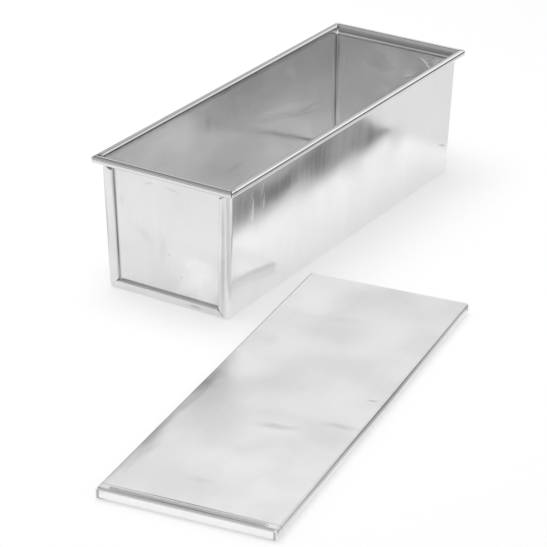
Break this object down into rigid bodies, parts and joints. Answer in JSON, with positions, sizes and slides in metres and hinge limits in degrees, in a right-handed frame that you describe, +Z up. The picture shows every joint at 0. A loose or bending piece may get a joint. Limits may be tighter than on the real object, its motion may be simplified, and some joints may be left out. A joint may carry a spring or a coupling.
{
  "type": "pullman loaf pan",
  "caption": "Long straight-walled loaf pan of folded sheet aluminium with lock-seamed ends, a rim rolled round a wire frame and a channelled sliding lid.",
  "frame": {"origin": "centre of the pan's flat underside, on the surface that the pan and its lid rest on", "axes": "+Z up, out of the pan's open top; +X along the pan's length, from the near end to the far end; the lid lies on the -Y side"},
  "size_m": [0.54, 0.2759, 0.096],
  "materials": {
    "pan_sheet": "bright rolled sheet, faintly brushed, lightly smudged",
    "lid_sheet": "satin rolled sheet, lightly smudged",
    "wire": "dull drawn steel wire"
  },
  "bodies": {
    "pan": {"pan_trough": "pan_sheet", "near_end_panel": "pan_sheet", "far_end_panel": "pan_sheet", "rim_wire": "wire"},
    "lid": {"sliding_lid": "lid_sheet"}
  },
  "joints": [
    {"name": "lid_lift", "type": "slide", "parent": "pan", "child": "lid", "axis": [0, 0, 1], "range_m": [0, 0.15]}
  ]
}
